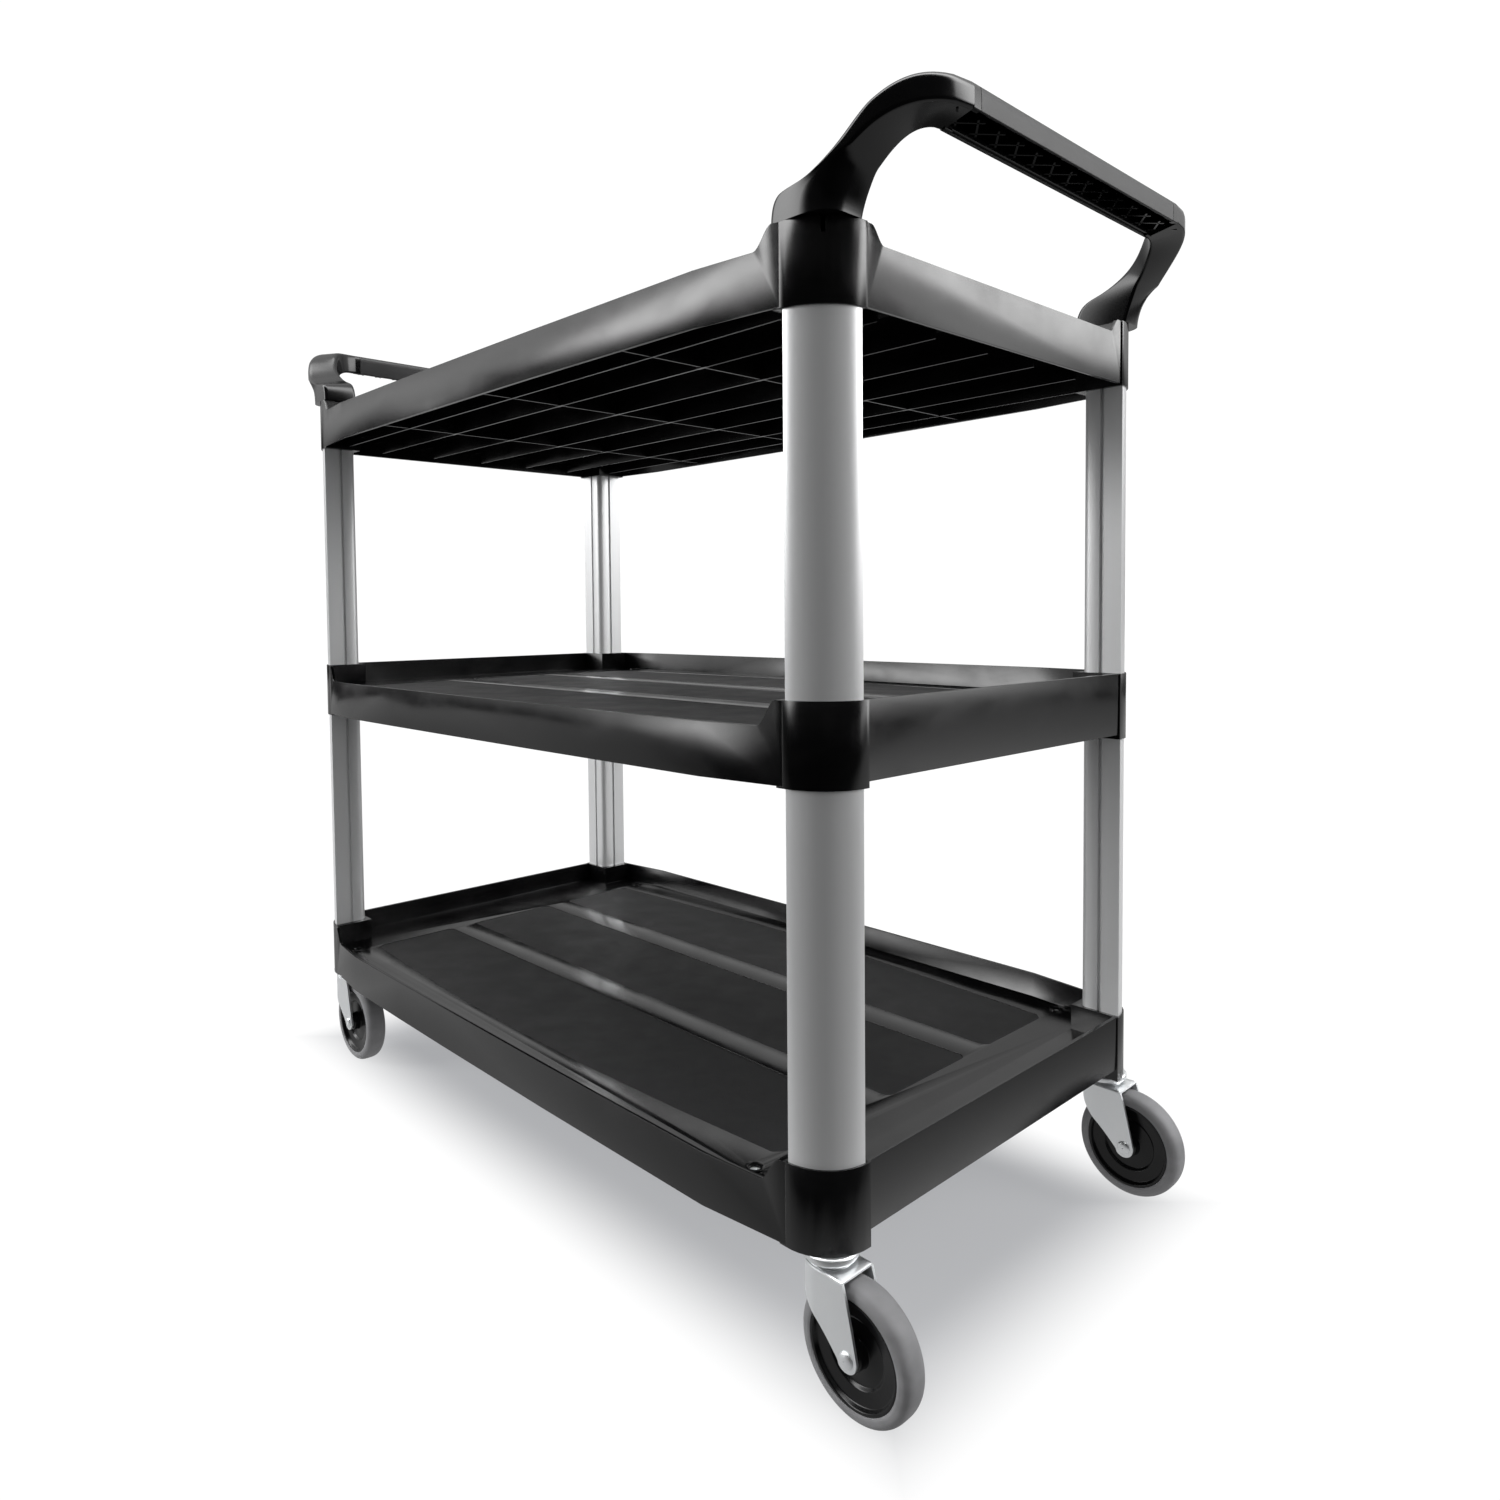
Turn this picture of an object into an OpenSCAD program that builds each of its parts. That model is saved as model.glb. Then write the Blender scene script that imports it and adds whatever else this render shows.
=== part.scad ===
// Three-shelf rolling utility cart. Millimetres, +Z up.
// Origin: on the floor, under the middle of the cart. X runs along the cart, Y across it.
// Corners are numbered 1 (+X,-Y), 2 (+X,+Y), 3 (-X,+Y), 4 (-X,-Y).

/* [Overall] */
// length over the corner bosses
body_l = 900; // [820:1:980]
// width over the corner bosses
body_w = 483; // [450:1:520]
// how far the long sides bow out beyond the corner bosses
bow = 12.5; // [6:0.5:18]
// where the bow bends in towards the corners, from the middle
bend_x = 325; // [280:1:345]

/* [Shelf levels] */
// underside of the bottom shelf's corner bosses
low_z = 116; // [112:1:130]
// underside of the middle shelf's corner bosses
mid_z = 460; // [420:1:500]
// underside of the top shelf's corner bosses
top_z = 806.5; // [780:0.5:860]
// height of a lower or middle corner boss
boss_h = 65; // [60:1:72]
// height of a top shelf corner boss
top_boss_h = 61.5; // [56:0.5:66]
// height of the low long-side rim over the boss underside
low_rim_h = 45; // [40:1:50]
// height of the tray floor over the boss underside
floor_h = 39.5; // [34:0.5:42]

/* [Shelf moulding] */
// wall thickness of rims and skirts
wall = 3.5; // [2.5:0.5:5]
// floor thickness
floor_t = 3.5; // [2.5:0.5:5]
// rib thickness under the floor
rib_t = 2.2; // [1.6:0.2:3]
// depth of the ribs under the floor
rib_d = 28; // [18:1:29]
// pitch of the lengthwise ribs
rib_pitch = 76; // [70:1:78]
// pitch of the cross ribs
cross_pitch = 226; // [180:1:230]
// depth of the textured panels in the floor
panel_d = 0.6; // [0.3:0.1:1]

/* [Uprights] */
// width of each flat of the quarter-round upright
post_s = 40.5; // [38:0.5:42]
// radius of the outer face of the upright
post_r = 42; // [40:0.5:43]
// wall thickness of the extrusion
post_wall = 2.2; // [1.6:0.2:3]
// how far an upright goes into a boss
post_in = 27; // [20:1:30]

/* [Handles] */
// how far the bar stands out from the end of the shelf
reach = 66.5; // [55:0.5:75]
// highest point of the bar
bar_top = 954; // [948:1:970]
// half length of the grip cover
grip_y = 153; // [140:1:160]
// pitch of the zigzag ribs in the bar
zig = 26; // [22:1:32]
// depth of the bar, front to back
bar_w = 28.5; // [26:0.5:32]
// height of the bar's inner face
bar_h = 26; // [24:0.5:30]

/* [Casters] */
// wheel radius
wheel_r = 50.8; // [48:0.2:52]
// tyre width
tyre_w = 25; // [22:1:26]
// swivel axis from the end of the shelf
cast_x = 23.5; // [21:0.5:27]
// swivel axis from the long side of the bosses
cast_y = 27.5; // [23:0.5:30]
// trail of the axle behind the swivel axis
trail = 29.7; // [26:0.1:32]
// axle radius
axle_r = 4; // [3.5:0.1:4.4]
// running clearance of the bearings
run = 0.05; // [0.02:0.01:0.09]

/* [Hidden] */
$fn = 64;
hx = body_l / 2;
hy = body_w / 2;
wx = hx - 1.5;
wy = hy - 3.2;
corner_r = post_r + 1.6;
boss_x = 50;
boss_y = 46.5;
low_top = low_z + boss_h;
mid_top = mid_z + boss_h;
deck_z = top_z + top_boss_h;
post_x = hx - 1.7;
post_y = hy - 1.7;
web = 0.15;
screw_x = hx - 86;
screw_y = hy - 10.5;
panel_x = hx - 87;
sx = hx - cast_x;
sy = hy - cast_y;
crown_z = 2 * wheel_r + 4.2;

function cx(i) = (i == 1 || i == 2) ? 1 : -1;
function cy(i) = (i == 2 || i == 3) ? 1 : -1;

// puts a +X+Y corner shape into corner i
module corner(i) {
    mirror([cx(i) < 0 ? 1 : 0, 0, 0]) mirror([0, cy(i) < 0 ? 1 : 0, 0]) children();
}

// extrudes a drawing made in X,Z along Y between y0 and y1
module along_y(y0, y1) {
    translate([0, y1, 0]) rotate([90, 0, 0]) linear_extrude(height = y1 - y0) children();
}

// extrudes a drawing made in Y,Z along X between x0 and x1
module along_x(x0, x1) {
    translate([x0, 0, 0]) rotate([90, 0, 90]) linear_extrude(height = x1 - x0) children();
}

// ---- shelf outline: straight ends, long sides bowed outwards ----
function bow_pts(t) = [
    [wx - t, wy - t], [bend_x, hy + bow - 2 - t], [bend_x * 0.62, hy + bow - 0.6 - t],
    [bend_x * 0.3, hy + bow - t], [-bend_x * 0.3, hy + bow - t],
    [-bend_x * 0.62, hy + bow - 0.6 - t], [-bend_x, hy + bow - 2 - t], [t - wx, wy - t]];

module outline(t) {
    side = bow_pts(t);
    polygon(concat(side, [for (i = [7:-1:0]) [side[i][0], -side[i][1]]]));
}

// corner boss in plan, outer corner rounded
module boss_plan(g) {
    r = corner_r - g;
    intersection() {
        translate([hx - boss_x, hy - boss_y]) square([boss_x - g, boss_y - g]);
        union() {
            translate([hx - corner_r, hy - corner_r]) circle(r = r);
            translate([hx - boss_x - 1, hy - boss_y - 1]) square([boss_x + 1 - corner_r, boss_y + 2]);
            translate([hx - boss_x - 1, hy - boss_y - 1]) square([boss_x + 2, boss_y + 1 - corner_r]);
        }
    }
}

// what lies outside the rounded corner, taken off the tray so that it stays within the boss
module corner_waste() {
    difference() {
        translate([hx - corner_r, hy - corner_r]) square(corner_r + 5);
        translate([hx - corner_r, hy - corner_r]) circle(r = corner_r - 0.4);
    }
}

// quarter-round upright in plan, outer corner at +X+Y; g grows it for its socket
module upright_plan(g) {
    intersection() {
        translate([post_x - post_r, post_y - post_r]) circle(r = post_r + g);
        translate([post_x - post_s - g, post_y - post_s - g]) square(post_s + 2 * g);
        union() {
            translate([post_x - post_s + 7, post_y - post_s + 7]) circle(r = 7 + g);
            translate([post_x - post_s + 7, post_y - post_s - g]) square([post_s, post_s + 2 * g]);
            translate([post_x - post_s - g, post_y - post_s + 7]) square([post_s + 2 * g, post_s]);
        }
    }
}

module upright(z0, z1) {
    translate([0, 0, z0]) linear_extrude(height = z1 - z0) difference() {
        upright_plan(0);
        // slot in the middle of each flat
        translate([post_x - post_s - 1, post_y - post_s + 18]) square([3.4, 4]);
        translate([post_x - post_s + 18, post_y - post_s - 1]) square([4, 3.4]);
        // hollow core, kept clear of the slots
        intersection() {
            translate([post_x - post_r, post_y - post_r]) circle(r = post_r - post_wall);
            translate([post_x - post_s + 4.6, post_y - post_s + 4.6]) square(post_s);
        }
    }
}

// S-shaped line between a raised corner and the low rim, as points from high to low
function ramp(x0, x1, z0, z1) = [for (k = [0:8]) let (t = k / 8, s = t * t * (3 - 2 * t))
    [x0 + (x1 - x0) * t, z0 + (z1 - z0) * s]];

// everything above the low rim between the corners, drawn along one side
module rim_cut(e, w, z1, z2) {
    a = ramp(e, e - w, z2, z1);
    b = ramp(-e, w - e, z2, z1);
    polygon(concat([[e, z2 + 20]], a, [for (i = [8:-1:0]) b[i]], [[-e, z2 + 20]]));
}

// one rounded panel of the floor pattern
module panel(x0, x1, y0, y1, r) {
    translate([x0 + r, y0]) square([x1 - x0 - 2 * r, y1 - y0]);
    translate([x0, y0 + r]) square([x1 - x0, y1 - y0 - 2 * r]);
    for (x = [x0 + r, x1 - r], y = [y0 + r, y1 - r]) translate([x, y]) circle(r = r, $fn = 32);
}

// outer panel, whose outer edge follows the bow
module side_panel(s) {
    half = [[panel_x - 5, 96], [panel_x, 101], [panel_x, 196], [panel_x - 7, 204], [250, 212], [120, 219]];
    polygon(concat([for (p = half) [p[0], s * p[1]]], [[0, s * 221]],
        [for (k = [5:-1:0]) [-half[k][0], s * half[k][1]]]));
}

// zb boss underside, zt boss top, zf floor top, zl low rim top, ze end rim top, zs end skirt underside
module shelf(zb, zt, zf, zl, ze, zs, open_both) {
    difference() {
        union() {
            difference() {
                union() {
                    // rim and skirt
                    difference() {
                        translate([0, 0, zb + 1.5]) linear_extrude(height = zt - zb - 1.5) outline(0);
                        translate([0, 0, zb - 1]) linear_extrude(height = zt - zb + 9) outline(wall);
                        along_y(-hy - 30, -hy + 30) rim_cut(hx - boss_x + 1, 17, zl, zt);
                        if (open_both) along_y(hy - 30, hy + 30) rim_cut(hx - boss_x + 1, 17, zl, zt);
                        if (open_both) along_x(-hx - 5, hx + 5) rim_cut(hy - 53, 14, ze, zt);
                        for (s = [-1, 1]) translate([s * hx - 10, boss_y - hy, zb]) cube([20,
                            body_w - 2 * boss_y, zs - zb]);
                    }
                    // floor
                    translate([0, 0, zf - floor_t]) linear_extrude(height = floor_t) outline(wall - 0.5);
                    // ribs under the floor, stepped up short of the end walls
                    intersection() {
                        translate([0, 0, zb]) linear_extrude(height = zf - zb - 1) outline(wall - 0.5);
                        union() {
                            rz = max(zf - floor_t - rib_d, zs + 0.3);
                            for (y = concat([for (k = [-2:2]) k * rib_pitch], [-212, 212])) {
                                translate([26 - hx, y - rib_t / 2, rz]) cube([body_l - 52, rib_t,
                                    zf - floor_t - rz + 1]);
                                translate([-hx, y - rib_t / 2, zf - floor_t - 12]) cube([body_l, rib_t, 13]);
                            }
                            for (x = [-cross_pitch, 0, cross_pitch])
                                translate([x - rib_t / 2, -hy - 20, rz + 0.5])
                                cube([rib_t, body_w + 40, zf - floor_t - rz + 0.5]);
                            // thickened nodes where the ribs cross
                            for (x = [-cross_pitch, 0, cross_pitch], k = [-2:2]) translate([x - 7,
                                k * rib_pitch - 2, rz])
                                cube([14, 4, zf - floor_t - rz + 1]);
                        }
                    }
                }
                for (i = [1:4]) corner(i) translate([0, 0, zb - 2])
                    linear_extrude(height = zt - zb + 12) corner_waste();
            }
            // corner bosses
            for (i = [1:4]) corner(i) translate([0, 0, zb]) linear_extrude(height = zt - zb) boss_plan(0);
            // screw pillar beside each boss
            for (i = [1:4]) corner(i) translate([screw_x, screw_y, zf - 22]) cylinder(r = 8, h = 23.5);
        }
        // textured panels, with smooth bands left between them
        translate([0, 0, zf - panel_d]) linear_extrude(height = 1) {
            panel(-panel_x, panel_x, -61, 61, 9);
            for (s = [-1, 1]) side_panel(s);
        }
        for (i = [1:4]) corner(i) translate([screw_x, screw_y, zf - 4]) {
            cylinder(r = 5.4, h = 20);
            translate([0, 0, -6.1]) cylinder(r = 2.05, h = 7);
        }
    }
}

module sockets(z0, h) {
    for (i = [1:4]) corner(i) translate([0, 0, z0]) linear_extrude(height = h) upright_plan(web);
}

module top_shelf() color([0.09, 0.09, 0.10]) difference() {
    shelf(top_z, deck_z, top_z + 35, top_z + low_rim_h, top_z + 48.5, top_z + 1.5, true);
    sockets(top_z - 1, post_in + 1);
    for (i = [1:4]) corner(i) translate([hx - 38, hy - 36, deck_z - 12]) cube([26.4, 24.4, 13]);
}

module middle_shelf() color([0.09, 0.09, 0.10]) difference() {
    shelf(mid_z, mid_top, mid_z + floor_h, mid_z + low_rim_h, mid_top, mid_z + 4.5, false);
    sockets(mid_z - 1, post_in + 1);
    sockets(mid_top - post_in, post_in + 1);
}

module bottom_shelf() color([0.09, 0.09, 0.10]) difference() {
    shelf(low_z, low_top, low_z + floor_h, low_z + low_rim_h, low_top, low_z + 12, false);
    sockets(low_top - post_in, post_in + 1);
    for (i = [1:4]) corner(i) translate([sx, sy, low_z - 1]) cylinder(r = 5.5, h = 31);
}

module upper_upright(i) color([0.72, 0.73, 0.74]) corner(i) upright(mid_top - post_in, top_z + post_in);
module lower_upright(i) color([0.72, 0.73, 0.74]) corner(i) upright(low_top - post_in, mid_z + post_in);

// ---- push handle, drawn for the +X end ----
bx = hx + reach;
bi = bx - bar_w;
bend_o = 80;
bend_i = 40;
function bez(p, q, r, s, n, from) = [for (k = [from:n]) let (t = k / n)
    pow(1 - t, 3) * p + 3 * t * pow(1 - t, 2) * q + 3 * t * t * (1 - t) * r + t * t * t * s];

// the four long edges of the -Y leg as [x, z], from the foot to the bar, 14 stations each
d = deck_z;
t = bar_top;
out_back = concat(bez([hx - 53, d], [hx - 53, d + 12], [hx - 51, d + 19], [hx - 42, d + 21.5], 3, 0),
    bez([hx - 42, d + 21.5], [hx - 10, d + 21.5], [hx + 5, d + 34], [hx + 25, t - 24], 5, 1),
    bez([hx + 25, t - 24], [hx + 36, t - 15], [hx + 49, t - 2.5], [bx, t], 5, 1));
out_front = concat(bez([hx, d], [hx, d + 10], [hx + 4, d + 21], [hx + 13, d + 33], 5, 0),
    bez([hx + 13, d + 33], [hx + 23, t - 43], [hx + 42, t - 25], [bx, t - 20], 8, 1));
in_front = concat(bez([hx, d], [hx + 2, d + 9], [hx + 7, d + 20], [hx + 11.5, d + 30], 5, 0),
    bez([hx + 11.5, d + 30], [hx + 19, t - 48], [hx + 28, t - 32], [bi, t - bar_h], 8, 1));
in_back = concat(bez([hx - 53, d], [hx - 53, d + 14], [hx - 50, d + 25], [hx - 38, d + 29], 3, 0),
    bez([hx - 38, d + 29], [hx - 18, d + 34], [hx + 3, d + 46], [hx + 17.5, t - 16], 6, 1),
    bez([hx + 17.5, t - 16], [hx + 22, t - 8], [hx + 29, t], [bi, t], 4, 1));

// plan of the elbows: outer and inner boundary of the -Y half
function y_out(x) = bend_o - hy - sqrt(pow(bend_o, 2) - pow(max(0, x - bx + bend_o), 2));
function y_in(x) = 81.5 - hy - sqrt(pow(bend_i, 2) - pow(max(0, x - bi + bend_i), 2));
function at_out(p) = [p[0], y_out(p[0]), p[1]];
function at_in(p) = [p[0], y_in(p[0]), p[1]];

// corner q of a section, rounded between its neighbours p and r with n steps
function soft(p, q, r, w, n) =
    let (a = q + (p - q) * min(w / norm(p - q), 0.45),
        b = q + (r - q) * min(w / norm(r - q), 0.45))
    [for (k = [0:n]) let (u = k / n) (1 - u) * (1 - u) * a + 2 * u * (1 - u) * q + u * u * b];
function ring(k) =
    let (a = at_out(out_back[k]), b = at_out(out_front[k]), c = at_in(in_front[k]), e = at_in(in_back[k]),
        w = 3 + 37 * max(0, 1 - k * k / 36))
    concat(soft(e, a, b, 4 + k * 0.3, 2), soft(a, b, c, w, 4), soft(b, c, e, 3, 2), soft(c, e, a,
        4 + k * 0.3, 2));

module handle_solid() {
    half = [for (k = [0:13]) ring(k)];
    rings = concat(half, [for (k = [13:-1:0]) [for (p = half[k]) [p[0], -p[1], p[2]]]]);
    n = len(rings[0]);
    m = len(rings);
    polyhedron(points = [for (r = rings, p = r) p], convexity = 6,
        faces = concat([[for (i = [0:n - 1]) i]], [[for (i = [n - 1:-1:0]) (m - 1) * n + i]],
            [for (j = [0:m - 2], i = [0:n - 1]) [j * n + i, (j + 1) * n + i, j * n + (i + 1) % n]],
            [for (j = [0:m - 2], i = [0:n - 1]) [(j + 1) * n + i, (j + 1) * n + (i + 1) % n,
                j * n + (i + 1) % n]]));
}

// section of the bar inside the grip, and of its channel, both open underneath
module bar_section(g, top) {
    polygon([[bi + g, t - 60], [bx - g, t - 60], [bx - g, t - top - 4.5], [bx - g - 4.5, t - top],
        [bi + g + 4.5, t - top], [bi + g, t - top - 4.5]]);
}
module bar_core() {
    along_y(-166, 166) bar_section(4.8, 4.8);
}

// skin of the grip: the outer 2.3 mm of the bar between the two seams
module grip_skin() {
    along_y(-grip_y, grip_y) difference() {
        translate([bi - 5, t - 40]) square([bar_w + 10, 50]);
        bar_section(2.3, 2.3);
    }
}

module handle_x() {
    difference() {
        handle_solid();
        bar_core();
        grip_skin();
    }
    // zigzag ribs under the bar
    intersection() {
        along_y(-166, 166) intersection() {
            bar_section(4.6, 4.6);
            translate([bi, t - bar_h + 4]) square([bar_w, bar_h]);
        }
        union() for (k = [-6:6]) translate([(bi + bx) / 2, k * zig, 0]) for (a = [-38, 38])
            rotate([0, 0, a]) translate([-20, -0.8, t - bar_h]) cube([40, 1.6, bar_h]);
    }
    // plugs into the shelf corners
    for (s = [-1, 1]) translate([hx - 37.8, s > 0 ? hy - 35.8 : -hy + 11.8, d - 11.8]) cube([26, 24, 13]);
}

module grip_x() {
    intersection() {
        handle_solid();
        grip_skin();
    }
}

module handle(e) color([0.07, 0.07, 0.08]) mirror([e < 0 ? 1 : 0, 0, 0]) handle_x();
module grip(e) color([0.13, 0.13, 0.14]) mirror([e < 0 ? 1 : 0, 0, 0]) grip_x();

// ---- screws beside the corner bosses ----
module screw_at(z) {
    for (i = [1:4]) corner(i) translate([screw_x, screw_y, z - 4]) difference() {
        union() {
            cylinder(r = 4.6, h = 2.4);
            translate([0, 0, -6]) cylinder(r = 2, h = 6.5);
        }
        for (a = [0, 90]) rotate([0, 0, a]) translate([-3, -0.6, 1.4]) cube([6, 1.2, 2]);
    }
}
module shelf_screws() color([0.55, 0.55, 0.57]) {
    screw_at(low_z + floor_h);
    screw_at(mid_z + floor_h);
}

// ---- casters ----
module at_swivel(i) translate([cx(i) * sx, cy(i) * sy, 0]) children();

// stem, upper cup and king pin, fixed to the shelf
module stem(i) color([0.78, 0.79, 0.80]) at_swivel(i) {
    translate([0, 0, low_z - 1]) cylinder(r = 5.5, h = 29);
    rotate_extrude() polygon([[0, low_z], [20, low_z], [21.5, low_z - 1.5], [21.5, low_z - 4.6],
        [20.3, low_z - 6.4],
        [18.6, low_z - 6.8], [17.6, low_z - 4.6], [9, low_z - 4.6], [5, low_z - 5], [5, crown_z - 4.6],
        [8.5, crown_z - 4.6], [8.5, crown_z - 6.2], [5, crown_z - 7.6], [0, crown_z - 7.6]]);
}

// pressed fork: crown plate with the lower race, two tapered legs; pivots under its stem
module fork(i) color([0.76, 0.77, 0.79]) at_swivel(i) {
    difference() {
        union() {
            // crown plate, round in front and square behind
            translate([0, 0, crown_z - 2.6]) linear_extrude(height = 2.6) {
                circle(r = 20.5);
                translate([-12, -18]) square([38, 36]);
            }
            // raised lower race
            rotate_extrude() polygon([[5.3, crown_z - 2.6], [17, crown_z - 2.6], [17,
                crown_z + 0.6], [15.6, crown_z + 1.8],
                [11.4, crown_z + 1.8], [10, crown_z + 0.4], [5.3, crown_z + 0.4]]);
            // legs
            for (s = [-1, 1]) translate([0, s * 16.75 - 1.25, 0]) along_y(0, 2.5) {
                polygon([[-18, crown_z - 0.4], [26, crown_z - 0.4], [trail + 9.4, wheel_r + 2],
                    [trail - 9, wheel_r + 3.5], [-19.5, crown_z - 26], [-20, crown_z - 12]]);
                translate([trail, wheel_r]) circle(r = 9.6);
            }
        }
        translate([0, 0, crown_z - 10]) cylinder(r = 5 + run, h = 20);
        translate([trail, 30, wheel_r]) rotate([90, 0, 0]) cylinder(r = axle_r, h = 60);
    }
}

// rivet that carries the wheel
module axle(i) color([0.80, 0.81, 0.82]) at_swivel(i) translate([trail, 0, wheel_r]) rotate([90, 0, 0]) {
    translate([0, 0, -18]) cylinder(r = axle_r, h = 36);
    for (s = [0, 1]) mirror([0, 0, s]) translate([0, 0, 18]) rotate_extrude()
        polygon([[0, 0], [6.2, 0], [6.2, 0.7], [5.4, 1.6], [3.4, 2.3], [0, 2.6]]);
}

// wheel centre: rim, dished web with a step, hub barrel
module hub(i) color([0.07, 0.07, 0.08]) at_swivel(i) translate([trail, 0, wheel_r]) rotate([90, 0, 0])
    rotate_extrude() {
        b = axle_r + run;
        half = [[b, 14.6], [9, 14.6], [10.5, 13.4], [11, 5.5], [24, 4.5], [26, 7], [36.5, 8],
            [38, 11.6], [40.4, 11.6], [40.4, 8],
            [41.6, 6]];
        polygon(concat(half, [for (k = [10:-1:0]) [half[k][0], -half[k][1]]]));
    }

// tyre: flat tread, rounded shoulders, keyed over the wheel centre
module tyre(i) color([0.42, 0.42, 0.43]) at_swivel(i) translate([trail, 0, wheel_r]) rotate([90, 0, 0])
    rotate_extrude() {
        w = tyre_w / 2;
        half = [[41.6, 6], [40.4, 8], [40.4, w - 0.6], [42.6, w], [45.5, w - 0.5], [48.6,
            w - 2.6], [50.2, w - 5.4],
            [wheel_r, w - 8.5]];
        polygon(concat(half, [for (k = [7:-1:0]) [half[k][0], -half[k][1]]]));
    }

top_shelf();
middle_shelf();
bottom_shelf();
upper_upright(1);  // upper_upright_1
upper_upright(2);  // upper_upright_2
upper_upright(3);  // upper_upright_3
upper_upright(4);  // upper_upright_4
lower_upright(1);  // lower_upright_1
lower_upright(2);  // lower_upright_2
lower_upright(3);  // lower_upright_3
lower_upright(4);  // lower_upright_4
handle(1);  // handle_1
handle(-1);  // handle_2
grip(1);  // grip_1
grip(-1);  // grip_2
shelf_screws();
stem(1);  // stem_1
stem(2);  // stem_2
stem(3);  // stem_3
stem(4);  // stem_4
fork(1);  // fork_1
fork(2);  // fork_2
fork(3);  // fork_3
fork(4);  // fork_4
axle(1);  // axle_1
axle(2);  // axle_2
axle(3);  // axle_3
axle(4);  // axle_4
hub(1);  // hub_1
hub(2);  // hub_2
hub(3);  // hub_3
hub(4);  // hub_4
tyre(1);  // tyre_1
tyre(2);  // tyre_2
tyre(3);  // tyre_3
tyre(4);  // tyre_4
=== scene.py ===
"""Looks of the three-shelf rolling utility cart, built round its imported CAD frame. Metres, +Z up."""

import math

import bmesh
import bpy
import numpy as np
from mathutils import Matrix, Vector


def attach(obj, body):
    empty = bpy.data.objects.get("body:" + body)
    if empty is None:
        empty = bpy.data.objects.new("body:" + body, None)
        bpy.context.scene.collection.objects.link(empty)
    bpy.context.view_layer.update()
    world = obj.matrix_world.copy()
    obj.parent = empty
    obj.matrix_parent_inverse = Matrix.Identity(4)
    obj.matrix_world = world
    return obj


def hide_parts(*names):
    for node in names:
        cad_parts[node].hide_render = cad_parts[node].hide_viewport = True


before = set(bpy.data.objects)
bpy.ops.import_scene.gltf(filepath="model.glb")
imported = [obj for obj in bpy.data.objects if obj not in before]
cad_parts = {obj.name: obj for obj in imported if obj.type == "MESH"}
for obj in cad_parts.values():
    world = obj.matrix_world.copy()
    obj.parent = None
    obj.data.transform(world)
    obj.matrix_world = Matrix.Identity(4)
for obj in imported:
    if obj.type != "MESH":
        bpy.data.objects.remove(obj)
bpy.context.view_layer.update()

# ---- Camera and studio ------------------------------------------------------------------------
# A wide lens stands close to corner 1, a little under the top shelf. The studio is for looks and is
# not physical: the camera sees a white backdrop, mirror-like rays see two bright side walls and a dark
# camera side, and diffuse rays see an even grey. The lamps light diffuse surfaces only.
cam_data = bpy.data.cameras.new("camera")
cam_data.sensor_width = 36.0
cam_data.lens = 24.847
cam_data.shift_x, cam_data.shift_y = 0.02568, -0.06288
cam_data.clip_start, cam_data.clip_end = 0.02, 60.0
camera = bpy.data.objects.new("camera", cam_data)
bpy.context.collection.objects.link(camera)
yaw, pitch, roll = np.radians((47.390, 2.450, -0.570))
ahead = np.array((-math.sin(yaw) * math.cos(pitch), math.cos(yaw) * math.cos(pitch), -math.sin(pitch)))
side = np.array((math.cos(yaw), math.sin(yaw), 0.0))
above = np.cross(side, ahead)
right = math.cos(roll) * side + math.sin(roll) * above
up = -math.sin(roll) * side + math.cos(roll) * above
stand = (0.92591, -0.78866, 0.59028)
camera.matrix_world = Matrix(
    [(*v, c) for v, c in zip(np.column_stack((right, up, -ahead)).tolist(), stand)]
    + [(0.0, 0.0, 0.0, 1.0)]
)
scene = bpy.context.scene
scene.camera = camera
scene.view_settings.view_transform = "Standard"

camera_side = (0.72, -0.694, 0.0)  # level direction from the cart to the camera
backdrop_glow = 1.05  # just over white

world = bpy.data.worlds.new("studio")
scene.world = world
world.use_nodes = True
sky = world.node_tree
sky.nodes.clear()
ray = sky.nodes.new("ShaderNodeLightPath")
spot = sky.nodes.new("ShaderNodeTexCoord")
split = sky.nodes.new("ShaderNodeSeparateXYZ")
band = sky.nodes.new("ShaderNodeMapRange")
band.interpolation_type = "SMOOTHSTEP"
band.inputs["From Min"].default_value, band.inputs["From Max"].default_value = -0.02, 0.24
band.inputs["To Min"].default_value, band.inputs["To Max"].default_value = 0.22, 4.2
toward = sky.nodes.new("ShaderNodeVectorMath")
toward.operation = "DOT_PRODUCT"
toward.inputs[1].default_value = camera_side
half = sky.nodes.new("ShaderNodeMath")
half.operation = "MULTIPLY_ADD"
half.inputs[1].default_value = half.inputs[2].default_value = 0.5
walls = sky.nodes.new("ShaderNodeValToRGB")
walls.color_ramp.interpolation = "EASE"
# place from away (0) to the camera (1), and brightness there; the ramp's own two stops come first
stops = ((0.0, 0.14), (1.0, 0.008), (0.18, 0.14), (0.31, 0.3), (0.40, 0.45), (0.475, 1.9))
stops += ((0.53, 2.3), (0.65, 0.008))
for k, (place, level) in enumerate(stops):
    e = walls.color_ramp.elements[k] if k < 2 else walls.color_ramp.elements.new(place)
    e.position, e.color = place, (level, level, level, 1.0)
both = sky.nodes.new("ShaderNodeMath")
both.operation = "MULTIPLY"
kind = sky.nodes.new("ShaderNodeMix")
kind.inputs[2].default_value = 0.5
room = sky.nodes.new("ShaderNodeBackground")
room.inputs["Color"].default_value = (1.0, 1.0, 1.0, 1.0)
back = sky.nodes.new("ShaderNodeBackground")
back.inputs["Color"].default_value = (1.0, 1.0, 1.0, 1.0)
back.inputs["Strength"].default_value = backdrop_glow
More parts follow.
